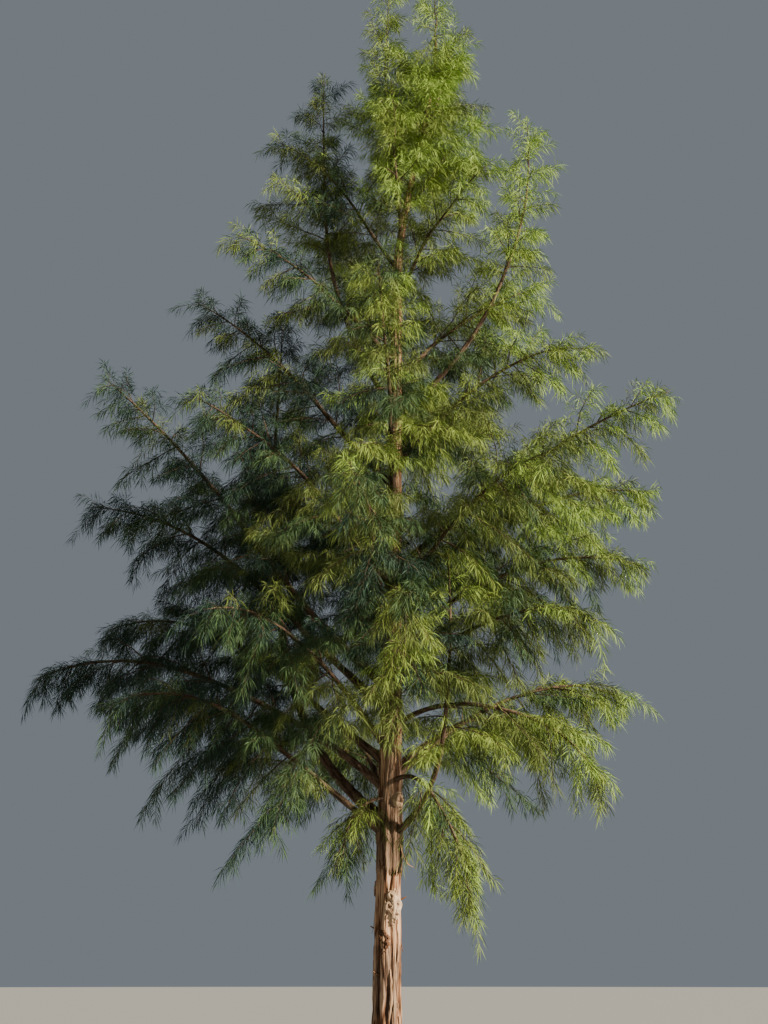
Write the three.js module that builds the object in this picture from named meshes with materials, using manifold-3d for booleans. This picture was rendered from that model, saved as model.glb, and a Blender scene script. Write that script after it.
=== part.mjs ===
// A young pond cypress, the whole tree above ground: one trunk with a flared foot, limbs that sweep
// up from it, and plumes of hanging needle sprays on the limbs. Millimetres, +Z up. The origin is at
// the middle of the flat cut under the trunk, and +X is the right-hand side of the tree.
import * as THREE from "three";
import { mergeVertices } from "three/addons/utils/BufferGeometryUtils.js";
import Module from "manifold-3d";

const wasm = await Module();
wasm.setup();

// The trunk: its tip, its girth and the way that its upper part leans to the right.
const TRUNK_TOP = 10180;
const TREE_TOP = 10680;
const TRUNK_RADIUS = 122;
const TRUNK_TAPER = 0.86;
const TRUNK_TIP_RADIUS = 9;
const TRUNK_LEAN = 0.016;
const TOP_LEAN = 340;
const TOP_LEAN_FROM = 7600;
const TRUNK_SWAY = 35;
const TRUNK_SIDES = 14;
const TRUNK_RINGS = 20;
const RING_CROWDING = 1.5;

// The flare of the foot, and the ribs that run down into it.
const FLARE = 78;
const FLARE_HEIGHT = 330;
const RIBS = 5;
const RIB_DEPTH = 0.055;
const RIB_FOOT_SHARE = 2.2;
const RIB_TOP_SHARE = 0.35;
const RIB_TWIST_HEIGHT = 900;

// Limbs, and the running gap between a limb and what it grows from.
const GAP = 0.3;
const BOUGH_SIDES = 5;
const BOUGH_STEPS = 4;
const STEM_SIDES = 4;
const STEM_STEPS = 3;
const LIMB_GIRTH = 0.0072;
const LIMB_LEAST_RADIUS = 8;
const LIMB_ROOT_SHARE = 0.46;
const LEADER_ROOT_SHARE = 0.66;
const LIMB_TAPER = 0.8;
const COLLAR = 0.5;
const COLLAR_SHARE = 0.05;
const LEADER_SPREAD = 260;
const STEM_TIP_RADIUS = 3.5;
const HANDLE = 0.36;

// Twigs, and how they stand round a plume's stem. Every plume has a few stations along it, and each
// one bears a spray on a twig or straight on the stem. One that doesn't fit is tried again, shorter.
const TWIG_SIDES = 3;
const TWIG_RADIUS = 8;
const TWIG_SHARE = 0.34;
const TWIG_SUNK = 0.93;
const TWIG_TAPER = 0.75;
const LEAST_TWIG_ANGLE = 42;
const MOST_TWIG_ANGLE = 60;
const FIRST_TWIG = 0.2;
const GOLDEN_TURN = 2.39996;
const STATION_STEP = 365;
const MOST_STATIONS = 6;
const CLEARANCE = 3;
const OWN_SPACE = 0.8;
const ATTEMPTS = 4;
const SHORTER = 0.14;
const SIMPLEST = 2;

// Sprays: a spray is longer than its plume's half width by a share, and shares of its own length give
// the rest. The last spray takes up the end of the limb.
const SPRAY_SHARE = 1.85;
const SPRAY_TAPER = 0.5;
const SPRAY_WIDTH = 0.56;
const SPRAY_THICKNESS = 0.011;
const SPRAY_LIFT = 0.4;
const SPRAY_DROOP = 0.14;
const HANGING_DROOP = 0.3;
const HANG = 0.75;
const SPRAY_NECK = 0.006;
const TIP_ROOM = 780;
const LEAST_STEM_SHARE = 0.4;

// The needle tips down one side of a spray, each with the notch behind it: where its own part of the
// spine is, where the tip is and how far out, and where the notch is and how far out. All are shares.
const SPRAY_TEETH = [
  { spine: 0.15, tip: 0.36, out: 0.82, notch: 0.29, dip: 0.17 },
  { spine: 0.41, tip: 0.66, out: 1, notch: 0.56, dip: 0.17 },
  { spine: 0.68, tip: 0.9, out: 0.7, notch: 0.82, dip: 0.13 },
];

const DEGREE = Math.PI / 180;
const UP = new THREE.Vector3(0, 0, 1);
const DOWN = new THREE.Vector3(0, 0, -1);

// Every limb that leaves the trunk: its height there, its turn (0 is right, 90 is behind), how far out
// its tip is and how high, the slopes at which it leaves and arrives, the share of it that is bare, and
// its plume's half width. A limb with no bare share is a mass that starts at the trunk.
const LIMBS = [
  // name, height, turn, reach, tip, leave, arrive, bare, spread
  ["left_low", 2990, 176, 3020, 3960, 40, -24, 0.26, 620],
  ["left_low_front", 2620, 204, 2350, 3500, 34, -34, 0.22, 560],
  ["left_low_back", 3200, 156, 2850, 4620, 38, -12, 0.24, 620],
  ["left_long", 2740, 160, 1060, 7350, 34, 90, 0.45, 540],
  ["left_hanging", 2900, 236, 660, 2420, 24, -84, 0.3, 340],
  ["right_low", 2620, -40, 640, 4900, 26, 90, 0.38, 520],
  ["right_hanging", 3060, -54, 1000, 2060, 24, -84, 0.3, 380],
  ["right_arching", 3080, 9, 2040, 3800, 40, -30, 0.4, 540],
  ["right_weeping", 3500, -13, 1680, 2980, 40, -80, 0.45, 420],
  ["front_low", 3250, -84, 1700, 4250, 38, -14, 0.24, 540],
  ["front_left_low", 3300, -128, 2200, 4080, 38, -20, 0.22, 640],
  ["back_low", 2900, 106, 2300, 3600, 36, -30, 0.26, 680],
  ["right_low_back", 3150, 48, 2100, 3600, 36, -30, 0.26, 600],
  ["left_mid", 3650, 172, 2700, 5560, 40, 6, 0.26, 640],
  ["left_rising", 3830, 187, 2520, 6520, 38, 38, 0.28, 600],
  ["right_mid", 4200, 4, 2150, 4950, 40, -18, 0.28, 580],
  ["right_middle_low", 3850, -26, 1800, 4220, 38, -34, 0, 580],
  ["right_mid_back", 4650, 20, 2600, 5860, 40, -2, 0, 600],
  ["right_rising", 4850, -4, 2430, 6440, 40, 20, 0, 600],
  ["front_right_mid", 4500, -50, 1950, 5400, 42, -4, 0, 640],
  ["front_mid", 4050, -98, 2150, 5000, 40, -12, 0, 680],
  ["front_left_mid", 4700, -142, 2050, 5950, 42, 10, 0, 640],
  ["back_mid", 4100, 95, 2200, 5050, 40, -12, 0, 680],
  ["back_left_mid", 4800, 137, 2050, 6050, 42, 12, 0, 660],
  ["right_leader", 6250, 1, 1260, 9230, 40, 92, 0.5, 350],
  ["left_leader", 6300, 168, 700, 9830, 56, 90, 0.48, 560],
  ["right_upper", 5800, 6, 1760, 7000, 46, -4, 0, 580],
  ["left_upper", 5600, 180, 1790, 7380, 46, 30, 0, 600],
  ["front_upper", 5500, -95, 1600, 6950, 48, 14, 0, 660],
  ["back_upper", 5850, 78, 1800, 7000, 46, 6, 0, 660],
  ["front_left_top", 6750, -160, 1500, 7780, 46, 16, 0, 440],
  ["back_left_top", 7000, 118, 1300, 8450, 52, 24, 0, 540],
  ["front_right_top", 7400, -42, 1050, 8350, 52, 20, 0, 560],
  ["back_right_top", 6600, 26, 1560, 7860, 46, 20, 0, 540],
  ["left_top", 7700, 178, 1150, 9080, 54, 24, 0, 520],
  ["left_tip", 8150, 165, 130, 10720, 78, 92, 0, 360],
  ["right_top", 8300, 4, 760, 9300, 54, 36, 0, 440],
  ["front_tip", 8050, -100, 560, 9350, 58, 50, 0, 420],
  ["back_tip", 8800, 98, 420, 10020, 60, 70, 0, 400],
  ["right_tip", 9150, -8, 330, 10160, 58, 70, 0, 380],
].map(([name, height, turn, reach, tip, leave, arrive, bare, spread]) => ({
  name,
  height,
  turn: turn * DEGREE,
  reach,
  tip,
  leave: leave * DEGREE,
  arrive: arrive * DEGREE,
  bare,
  spread,
  rootShare: LIMB_ROOT_SHARE,
}));

// The same draw of numbers on every run.
class Dice {
  constructor(seed) {
    this.state = (seed * 7919 + 12345) % 2147483647;
  }
  between(low, high) {
    this.state = (this.state * 16807) % 2147483647;
    return low + (high - low) * (this.state / 2147483647);
  }
}

function smooth(x) {
  const s = Math.min(1, Math.max(0, x));
  return s * s * (3 - 2 * s);
}

// Where the trunk's middle is at a height, and its radius there without the ribs.
function trunkMiddle(z) {
  const bend = smooth((z - TOP_LEAN_FROM) / (TRUNK_TOP - TOP_LEAN_FROM));
  const sway = Math.sin((z / TRUNK_TOP) * 2 * Math.PI);
  return new THREE.Vector3(TRUNK_LEAN * z + TOP_LEAN * bend, TRUNK_SWAY * sway, z);
}

function trunkRadius(z) {
  const taper = Math.max(0, 1 - z / TREE_TOP) ** TRUNK_TAPER;
  const tip = TRUNK_TIP_RADIUS * smooth((z - TRUNK_TOP / 2) / TRUNK_TOP);
  return TRUNK_RADIUS * taper * (1 - z / TREE_TOP / 6) + tip + FLARE * Math.exp(-z / FLARE_HEIGHT);
}

// A closed solid from rings of points, each joined to the next, with a flat cap at either end.
function loft(rings) {
  const sides = rings[0].length;
  const positions = rings.flat().flatMap((p) => p.toArray());
  const faces = [];
  const at = (ring, side) => ring * sides + (side % sides);
  for (let ring = 0; ring + 1 < rings.length; ring += 1) {
    for (let side = 0; side < sides; side += 1) {
      faces.push([at(ring, side), at(ring, side + 1), at(ring + 1, side + 1)]);
      faces.push([at(ring, side), at(ring + 1, side + 1), at(ring + 1, side)]);
    }
  }
  const last = rings.length - 1;
  for (let side = 1; side + 1 < sides; side += 1) {
    faces.push([at(0, 0), at(0, side + 1), at(0, side)]);
    faces.push([at(last, 0), at(last, side), at(last, side + 1)]);
  }
  return solid(positions, faces);
}

function solid(positions, faces) {
  const made = new wasm.Manifold(
    new wasm.Mesh({
      numProp: 3,
      vertProperties: new Float32Array(positions),
      triVerts: new Uint32Array(faces.flat()),
    }),
  );
  if (made.volume() <= 0) throw new Error("a solid's faces point inwards");
  return made;
}

// The trunk's rings lie level, so that the cut under the foot is flat. extra grows it all round.
function trunkSolid(extra) {
  const rings = [];
  for (let ring = 0; ring <= TRUNK_RINGS; ring += 1) {
    const z = TRUNK_TOP * (ring / TRUNK_RINGS) ** RING_CROWDING;
    const middle = trunkMiddle(z);
    const ribs = RIB_DEPTH * (RIB_TOP_SHARE + RIB_FOOT_SHARE * Math.exp(-z / FLARE_HEIGHT));
    rings.push(
      Array.from({ length: TRUNK_SIDES }, (_, side) => {
        const turn = (side / TRUNK_SIDES) * 2 * Math.PI;
        const ribbed = 1 + ribs * Math.cos(RIBS * turn + z / RIB_TWIST_HEIGHT);
        const radius = trunkRadius(z) * ribbed + extra;
        const out = new THREE.Vector3(Math.cos(turn), Math.sin(turn), 0);
        return out.multiplyScalar(radius).add(middle);
      }),
    );
  }
  return loft(rings);
}

// A limb's own line: it leaves the trunk at one slope and arrives at its tip at another.
function limbCurve(limb) {
  const start = trunkMiddle(limb.height);
  const out = new THREE.Vector3(Math.cos(limb.turn), Math.sin(limb.turn), 0);
  const end = start.clone().addScaledVector(out, limb.reach).setZ(limb.tip);
  const handle = start.distanceTo(end) * HANDLE;
  const slope = (angle) => leanTo(out, UP, angle);
  return new THREE.CubicBezierCurve3(
    start,
    start.clone().addScaledVector(slope(limb.leave), handle),
    end.clone().addScaledVector(slope(limb.arrive), -handle),
    end,
  );
}

// A limb is thicker the longer it is, but never near the trunk's own girth, and it swells at its root.
function limbRadius(limb, t) {
  const longest = LIMB_GIRTH * limb.curve.getLength() + LIMB_LEAST_RADIUS;
  const thickest = Math.min(longest, limb.rootShare * trunkRadius(limb.height));
  const collar = 1 + COLLAR * Math.exp(-t / COLLAR_SHARE);
  return (STEM_TIP_RADIUS + (thickest - STEM_TIP_RADIUS) * (1 - t) ** LIMB_TAPER) * collar;
}

// A ring of points round a line, in the plane square to it.
function ringRound(centre, along, radius, sides, roll = 0) {
  const side = sideOf(along);
  const over = new THREE.Vector3().crossVectors(along, side);
  return Array.from({ length: sides }, (_, k) => {
    const turn = (k / sides) * 2 * Math.PI + roll;
    return centre
      .clone()
      .addScaledVector(side, Math.cos(turn) * radius)
      .addScaledVector(over, Math.sin(turn) * radius);
  });
}

// The sideways direction of a line: level, and square to it. A line that stands straight up takes +X.
function sideOf(along) {
  const side = new THREE.Vector3().crossVectors(along, UP);
  return side.lengthSq() < 1e-6 ? new THREE.Vector3(1, 0, 0) : side.normalize();
}

// A tapering tube along a stretch of a limb's line, with both ends cut square.
function limbTube(limb, from, to, sides, steps) {
  const rings = [];
  for (let step = 0; step <= steps; step += 1) {
    const t = from + ((to - from) * step) / steps;
    const centre = limb.curve.getPoint(t);
    const along = limb.curve.getTangent(t);
    if (step === 0 && from > 0) centre.addScaledVector(along, GAP);
    rings.push(ringRound(centre, along, limbRadius(limb, t), sides));
  }
  return loft(rings);
}

// Turns one direction towards another by an angle.
function leanTo(direction, towards, angle) {
  return direction
    .clone()
    .multiplyScalar(Math.cos(angle))
    .addScaledVector(towards, Math.sin(angle))
    .normalize();
}

// Where a plume's twigs and sprays leave its stem, by one seeded rule: they turn round the stem by the
// golden angle and grow shorter towards its tip. Every other one has a twig.
function stationsOf(limb, dice) {
  const leafy = limb.curve.getLength() * (limb.end - limb.bare);
  const count = Math.min(MOST_STATIONS, Math.max(3, Math.round(leafy / STATION_STEP)));
  const first = limb.bare > 0 ? limb.bare : FIRST_TWIG;
  return Array.from({ length: count }, (_, k) => {
    const share = (k + 0.3) / count;
    const t = first + (limb.end - first) * share;
    const along = limb.curve.getTangent(t);
    const side = sideOf(along);
    const over = new THREE.Vector3().crossVectors(side, along);
    const roll = k * GOLDEN_TURN + dice.between(-0.35, 0.35);
    const away = leanTo(side, over, roll);
    return {
      root: limb.curve.getPoint(t),
      heading: leanTo(along, away, dice.between(LEAST_TWIG_ANGLE, MOST_TWIG_ANGLE) * DEGREE),
      size: limb.spread * (1 - SPRAY_TAPER * share) * dice.between(0.88, 1.12),
      thick: Math.min(TWIG_RADIUS, 0.8 * limbRadius(limb, t)),
      hasTwig: k % 2 === 0,
      roll: dice.between(0.9, 2.2),
    };
  });
}

// A twig: a slim three-sided cone that runs on into its spray.
function twigSolid(root, heading, length, thick) {
  const end = root.clone().addScaledVector(heading, length);
  return loft([
    ringRound(root, heading, thick, TWIG_SIDES, 0.4),
    ringRound(end, heading, thick * TWIG_TAPER, TWIG_SIDES, 0.4),
  ]);
}

// Sprays low in the crown hang, and those near the top stand out.
function hangAt(z) {
  return HANG * Math.max(0, 1 - z / TREE_TOP);
}

// One spray: a thin blade with a toothed outline and a spine that is thick from its root on. Its needle
// tips bend to either side of the blade, and its end hangs. The root is sunk to the middle of the wood
// that it grows from.
function spraySolid(root, heading, length, roll) {
  const level = sideOf(heading);
  const face = new THREE.Vector3().crossVectors(level, heading).normalize();
  const wide = leanTo(level, face, roll);
  const normal = new THREE.Vector3().crossVectors(wide, heading).normalize();
  const droop = SPRAY_DROOP + HANGING_DROOP * hangAt(root.z);
  const place = (share, across, lift) =>
    root
      .clone()
      .addScaledVector(heading, share * length)
      .addScaledVector(wide, across * length)
      .addScaledVector(normal, lift * length)
      .addScaledVector(UP, -droop * length * share * share);

  const points = [];
  const add = (p) => points.push(p) - 1;
  const shares = [0, ...SPRAY_TEETH.map((tooth) => tooth.spine)];
  const spines = [1, -1].map((over) => {
    const lift = (over * SPRAY_THICKNESS) / 2;
    return shares.map((share) => add(place(share, 0, lift)));
  });
  const end = add(place(1, 0, 0));
  const edges = [1, -1].map((hand) => {
    const half = (hand * SPRAY_WIDTH) / 2;
    const edge = [add(place(0, hand * SPRAY_NECK, 0))];
    SPRAY_TEETH.forEach(({ tip, out, notch, dip }, k) => {
      const bend = k % 2 === 0 ? hand : -hand;
      edge.push(add(place(tip, half * out, (bend * SPRAY_LIFT * SPRAY_WIDTH * out) / 2)));
      edge.push(add(place(notch, half * dip, 0)));
    });
    return [...edge, end];
  });

  const faces = [
    [spines[0][0], edges[1][0], edges[0][0]],
    [spines[1][0], edges[0][0], edges[1][0]],
  ];
  edges.forEach((edge, side) => {
    spines.forEach((spine, over) => {
      const strip = [];
      SPRAY_TEETH.forEach((_, k) => {
        const [before, tooth, behind] = edge.slice(2 * k, 2 * k + 3);
        strip.push([spine[k], before, spine[k + 1]]);
        strip.push([spine[k + 1], before, tooth]);
        strip.push([spine[k + 1], tooth, behind]);
      });
      strip.push([spine.at(-1), edge.at(-2), edge.at(-1)]);
      faces.push(...strip.map(([a, b, c]) => (side === over ? [a, b, c] : [a, c, b])));
    });
  });
  return solid(
    points.flatMap((p) => p.toArray()),
    faces,
  );
}

// The largest of a solid's separate pieces, with any sealed hollow filled.
function largestPiece(made) {
  const pieces = made.decompose().filter((piece) => piece.volume() > 0);
  pieces.sort((a, b) => b.volume() - a.volume());
  return pieces[0];
}

// The middle line of a plume, as points. A spray is in the space of the plume whose line is nearest.
function linePoints(limb) {
  return Array.from({ length: 11 }, (_, k) => {
    return limb.curve.getPoint(limb.bare + ((1 - limb.bare) * k) / 10);
  });
}

function distanceTo(points, p) {
  return Math.min(...points.map((q) => q.distanceTo(p)));
}

function insideOwnSpace(piece, own, others) {
  const { min, max } = piece.boundingBox();
  const middle = new THREE.Vector3(...min).add(new THREE.Vector3(...max)).multiplyScalar(0.5);
  const mine = distanceTo(own, middle);
  return others.every((points) => distanceTo(points, middle) > mine * OWN_SPACE);
}

// Grows one plume on its stem. A twig or a spray that would touch wood that it doesn't grow from, or
// another plume, or that would leave the plume's own space, is skipped.
function plumeSolid(limb, seed, wood, trunkRoom, grown, others) {
  const dice = new Dice(seed);
  const parts = [limbTube(limb, limb.bare, limb.end, STEM_SIDES, STEM_STEPS)];
  const own = linePoints(limb);
  const fits = (piece) =>
    insideOwnSpace(piece, own, others) &&
    [wood, ...grown].every((other) => piece.minGap(other, CLEARANCE) >= CLEARANCE);
  for (const { root, heading, size, hasTwig, roll, thick } of stationsOf(limb, dice)) {
    for (let attempt = 0; attempt < ATTEMPTS; attempt += 1) {
      const length = size * (1 - SHORTER * attempt);
      const twigLength = hasTwig ? length * TWIG_SHARE : 0;
      const twig = twigSolid(root, heading, length * TWIG_SHARE, thick);
      const from = root.clone().addScaledVector(heading, twigLength * TWIG_SUNK);
      const hanging = leanTo(heading, DOWN, hangAt(root.z));
      const spray = spraySolid(from, hanging, length * SPRAY_SHARE, roll + 0.5 * attempt);
      if ((hasTwig && !fits(twig)) || !fits(spray)) continue;
      if (hasTwig) parts.push(twig);
      parts.push(spray);
      break;
    }
  }
  const from = limb.curve.getPoint(limb.end - 0.02);
  const reach = limb.curve.getPoint(1).sub(from);
  const tip = spraySolid(from, reach.clone().normalize(), reach.length(), 1.2);
  if (fits(tip)) parts.push(tip);
  const plume = wasm.Manifold.union(parts).simplify(SIMPLEST);
  return largestPiece(limb.bare > 0 ? plume : plume.subtract(trunkRoom));
}

function meshOf(made, name, material) {
  const { vertProperties, triVerts } = made.getMesh();
  const geometry = new THREE.BufferGeometry();
  geometry.setAttribute("position", new THREE.BufferAttribute(vertProperties, 3));
  geometry.setIndex(new THREE.BufferAttribute(triVerts, 1));
  const tidy = mergeVertices(geometry, 1e-3);
  tidy.computeVertexNormals();
  const mesh = new THREE.Mesh(tidy, material);
  mesh.name = name;
  return mesh;
}

const bark = new THREE.MeshStandardMaterial({ color: 0x8a6247, roughness: 0.92, metalness: 0 });
const boughBark = new THREE.MeshStandardMaterial({ color: 0x76543f, roughness: 0.9, metalness: 0 });
const needles = new THREE.MeshStandardMaterial({ color: 0x64782f, roughness: 0.75, metalness: 0 });

const tree = new THREE.Group();
const trunk = trunkSolid(0);
const trunkRoom = trunkSolid(GAP);
tree.add(meshOf(trunk, "trunk", bark));

// The leader grows on from the trunk's tip, so it is a limb that starts there.
const leader = {
  name: "crown_tip",
  height: TRUNK_TOP,
  bare: 0,
  spread: LEADER_SPREAD,
  rootShare: LEADER_ROOT_SHARE,
};
leader.curve = new THREE.LineCurve3(
  trunkMiddle(TRUNK_TOP).add(new THREE.Vector3(0, 0, GAP)),
  trunkMiddle(TRUNK_TOP).setZ(TREE_TOP),
);

for (const limb of LIMBS) limb.curve = limbCurve(limb);
const plumes = [...LIMBS, leader];
for (const limb of plumes) limb.end = Math.max(LEAST_STEM_SHARE, 1 - TIP_ROOM / limb.curve.getLength());

const boughs = LIMBS.filter((limb) => limb.bare > 0).map((limb) => {
  const whole = limbTube(limb, 0, limb.bare, BOUGH_SIDES, BOUGH_STEPS);
  const bough = largestPiece(whole.subtract(trunkRoom));
  tree.add(meshOf(bough, "bough_" + limb.name, boughBark));
  return bough;
});

const wood = wasm.Manifold.union([trunk, ...boughs]);
const grown = [];
plumes.forEach((limb, k) => {
  const others = plumes.filter((other) => other !== limb).map(linePoints);
  const plume = plumeSolid(limb, k + 1, wood, trunkRoom, grown, others);
  grown.push(plume);
  tree.add(meshOf(plume, "mass_" + limb.name, needles));
});

export default tree;
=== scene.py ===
# A young pond cypress, the whole tree above ground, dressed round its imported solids. Metres, +Z up,
# the origin in the middle of the trunk's flat cut, +X the tree's right-hand side as seen from the front.
import math

import bpy
import numpy as np
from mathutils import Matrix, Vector, noise


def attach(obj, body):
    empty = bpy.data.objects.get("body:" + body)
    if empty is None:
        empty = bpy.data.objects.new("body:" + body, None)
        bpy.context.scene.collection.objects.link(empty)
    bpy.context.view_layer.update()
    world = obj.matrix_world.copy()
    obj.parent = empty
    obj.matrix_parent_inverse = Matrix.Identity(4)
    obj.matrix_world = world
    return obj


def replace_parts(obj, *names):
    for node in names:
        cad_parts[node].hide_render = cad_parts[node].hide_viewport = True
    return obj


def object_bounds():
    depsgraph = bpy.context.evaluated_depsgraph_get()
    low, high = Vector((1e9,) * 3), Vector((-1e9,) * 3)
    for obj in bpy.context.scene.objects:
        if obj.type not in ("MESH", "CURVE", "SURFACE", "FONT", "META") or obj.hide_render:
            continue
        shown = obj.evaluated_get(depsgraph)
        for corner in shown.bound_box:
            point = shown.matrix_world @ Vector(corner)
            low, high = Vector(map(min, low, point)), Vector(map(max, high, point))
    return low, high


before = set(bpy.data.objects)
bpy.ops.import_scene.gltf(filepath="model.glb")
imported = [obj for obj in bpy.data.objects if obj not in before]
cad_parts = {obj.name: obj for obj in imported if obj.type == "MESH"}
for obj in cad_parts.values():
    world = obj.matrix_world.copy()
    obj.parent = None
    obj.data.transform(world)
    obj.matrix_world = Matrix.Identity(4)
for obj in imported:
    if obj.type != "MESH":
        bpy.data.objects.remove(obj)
cad_low, cad_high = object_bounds()

# THE TRUNK
# One leaning stem with a flared, ribbed foot, from the flat cut at the ground to its slim tip. Its thin
# bark splits into long upright strips, so the mesh has folds, creases and furrows, a step below which
# the old bark has peeled away, a few knots, and a swollen collar under every limb.
MM = 0.001
TRUNK_TOP = 10.18
TREE_TOP = 10.68
TRUNK_RADIUS = 0.122
TRUNK_TAPER = 0.86
TRUNK_TIP_RADIUS = 0.009
TRUNK_LEAN = 0.016
TOP_LEAN = 0.34
TOP_LEAN_FROM = 7.6
TRUNK_SWAY = 0.035
FLARE = 0.078
FLARE_HEIGHT = 0.33
RIBS = 5
RIB_DEPTH = 0.055
RIB_FOOT_SHARE = 2.2
RIB_TOP_SHARE = 0.35
RIB_TWIST_HEIGHT = 0.9

TRUNK_SIDES = 104
BARE_TRUNK = 4.2
BARE_RINGS = 260
LEAFY_RINGS = 60
FURROW_DEPTH = 0.0080
LAYER_DEPTH = 0.0055
STRIPS_ROUND = 2.6
STRIPS_UP = 1.5
CRACK_WIDTH = 0.20
FOLDS = 7
FINE_FOLDS = 11
FOLD_DEPTH = 0.0080
FULL_RELIEF_RADIUS = 0.12

# The old bark ends at a ragged step on the front of the trunk, and fades out above it.
BREAK_HEIGHT = 2.35
BREAK_TOP = 2.72
BREAK_FADE = 0.4
BREAK_EDGE = 0.012
BREAK_DEPTH = 0.009
BREAK_TURN = -80
PEELED_BELOW = 0.55

CREASE_FADE = 0.3
COLLAR_RISE = 0.035
COLLAR_SWELL = 0.16
COLLAR_WIDTH = 0.42

# Every limb that leaves the trunk: its height there, its turn (0 is right, 90 is behind), how far out
# its tip is and how high, the slopes at which it leaves and arrives, the share of it that is bare, and
# its plume's half width. A limb with no bare share is leafy from the trunk on.
LIMBS = [
    # name, height, turn, reach, tip, leave, arrive, bare, spread
    ("left_low", 2990, 176, 3020, 3960, 40, -24, 0.26, 620),
    ("left_low_front", 2620, 204, 2350, 3500, 34, -34, 0.22, 560),
    ("left_low_back", 3200, 156, 2850, 4620, 38, -12, 0.24, 620),
    ("left_long", 2740, 160, 1060, 7350, 34, 90, 0.45, 540),
    ("left_hanging", 2900, 236, 660, 2420, 24, -84, 0.3, 340),
    ("right_low", 2620, -40, 640, 4900, 26, 90, 0.38, 520),
    ("right_hanging", 3060, -54, 1000, 2060, 24, -84, 0.3, 380),
    ("right_arching", 3080, 9, 2040, 3800, 40, -30, 0.4, 540),
    ("right_weeping", 3500, -13, 1680, 2980, 40, -80, 0.45, 420),
    ("front_low", 3250, -84, 1700, 4250, 38, -14, 0.24, 540),
    ("front_left_low", 3300, -128, 2200, 4080, 38, -20, 0.22, 640),
    ("back_low", 2900, 106, 2300, 3600, 36, -30, 0.26, 680),
    ("right_low_back", 3150, 48, 2100, 3600, 36, -30, 0.26, 600),
    ("left_mid", 3650, 172, 2700, 5560, 40, 6, 0.26, 640),
    ("left_rising", 3830, 187, 2520, 6520, 38, 38, 0.28, 600),
    ("right_mid", 4200, 4, 2150, 4950, 40, -18, 0.28, 580),
    ("right_middle_low", 3850, -26, 1800, 4220, 38, -34, 0, 580),
    ("right_mid_back", 4650, 20, 2600, 5860, 40, -2, 0, 600),
    ("right_rising", 4850, -4, 2430, 6440, 40, 20, 0, 600),
    ("front_right_mid", 4500, -50, 1950, 5400, 42, -4, 0, 640),
    ("front_mid", 4050, -98, 2150, 5000, 40, -12, 0, 680),
    ("front_left_mid", 4700, -142, 2050, 5950, 42, 10, 0, 640),
    ("back_mid", 4100, 95, 2200, 5050, 40, -12, 0, 680),
    ("back_left_mid", 4800, 137, 2050, 6050, 42, 12, 0, 660),
    ("right_leader", 6250, 1, 1260, 9230, 40, 92, 0.5, 350),
    ("left_leader", 6300, 168, 700, 9830, 56, 90, 0.48, 560),
    ("right_upper", 5800, 6, 1760, 7000, 46, -4, 0, 580),
    ("left_upper", 5600, 180, 1790, 7380, 46, 30, 0, 600),
    ("front_upper", 5500, -95, 1600, 6950, 48, 14, 0, 660),
    ("back_upper", 5850, 78, 1800, 7000, 46, 6, 0, 660),
    ("front_left_top", 6750, -160, 1500, 7780, 46, 16, 0, 440),
    ("back_left_top", 7000, 118, 1300, 8450, 52, 24, 0, 540),
    ("front_right_top", 7400, -42, 1050, 8350, 52, 20, 0, 560),
    ("back_right_top", 6600, 26, 1560, 7860, 46, 20, 0, 540),
    ("left_top", 7700, 178, 1150, 9080, 54, 24, 0, 520),
    ("left_tip", 8150, 165, 130, 10720, 78, 92, 0, 360),
    ("right_top", 8300, 4, 760, 9300, 54, 36, 0, 440),
    ("front_tip", 8050, -100, 560, 9350, 58, 50, 0, 420),
    ("back_tip", 8800, 98, 420, 10020, 60, 70, 0, 400),
    ("right_tip", 9150, -8, 330, 10160, 58, 70, 0, 380),
]

# Knots and burls on the lower trunk: height, turn in degrees, how far each stands out, its half width,
# its half height, and how pale it is.
KNOTS = [
    (2.11, -54, 0.022, 0.046, 0.060, 0.9),
    (2.05, -76, 0.014, 0.044, 0.060, 0.6),
    (1.85, -108, 0.012, 0.040, 0.060, 0.0),
    (2.91, -48, 0.016, 0.044, 0.060, 0.1),
    (2.45, -118, 0.010, 0.040, 0.060, 0.0),
    (1.36, -66, 0.008, 0.034, 0.050, 0.1),
    (1.12, 32, 0.010, 0.036, 0.050, 0.0),
    (1.64, 118, 0.012, 0.036, 0.060, 0.1),
    (2.24, 160, 0.012, 0.036, 0.060, 0.1),
    (0.76, -138, 0.010, 0.036, 0.050, 0.0),
]

# Long upright creases between the lower trunk's folds: turn in degrees, upper end, depth, half width.
CREASES = [
    (-68, 2.02, 0.016, 0.011),
    (-86, 1.64, 0.011, 0.009),
    (-38, 1.30, 0.009, 0.009),
    (-132, 2.20, 0.012, 0.010),
    (-176, 1.70, 0.013, 0.011),
    (20, 2.10, 0.013, 0.011),
    (66, 1.50, 0.011, 0.010),
    (112, 2.30, 0.014, 0.011),
    (148, 1.20, 0.010, 0.009),
]

UP = np.array([0.0, 0.0, 1.0])
DOWN = -UP


def smooth(x):
    s = np.clip(x, 0, 1)
    return s * s * (3 - 2 * s)


def unit(v):
    return v / np.linalg.norm(v, axis=-1, keepdims=True)


def trunk_middle(z):
    z = np.asarray(z, float)
    bend = smooth((z - TOP_LEAN_FROM) / (TRUNK_TOP - TOP_LEAN_FROM))
    sway = np.sin(z / TRUNK_TOP * 2 * math.pi)
    return np.stack([TRUNK_LEAN * z + TOP_LEAN * bend, TRUNK_SWAY * sway, z], axis=-1)


def trunk_radius(z):
    taper = np.maximum(0, 1 - z / TREE_TOP) ** TRUNK_TAPER
    tip = TRUNK_TIP_RADIUS * smooth((z - TRUNK_TOP / 2) / TRUNK_TOP)
    return TRUNK_RADIUS * taper * (1 - z / TREE_TOP / 6) + tip + FLARE * np.exp(-z / FLARE_HEIGHT)


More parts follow.
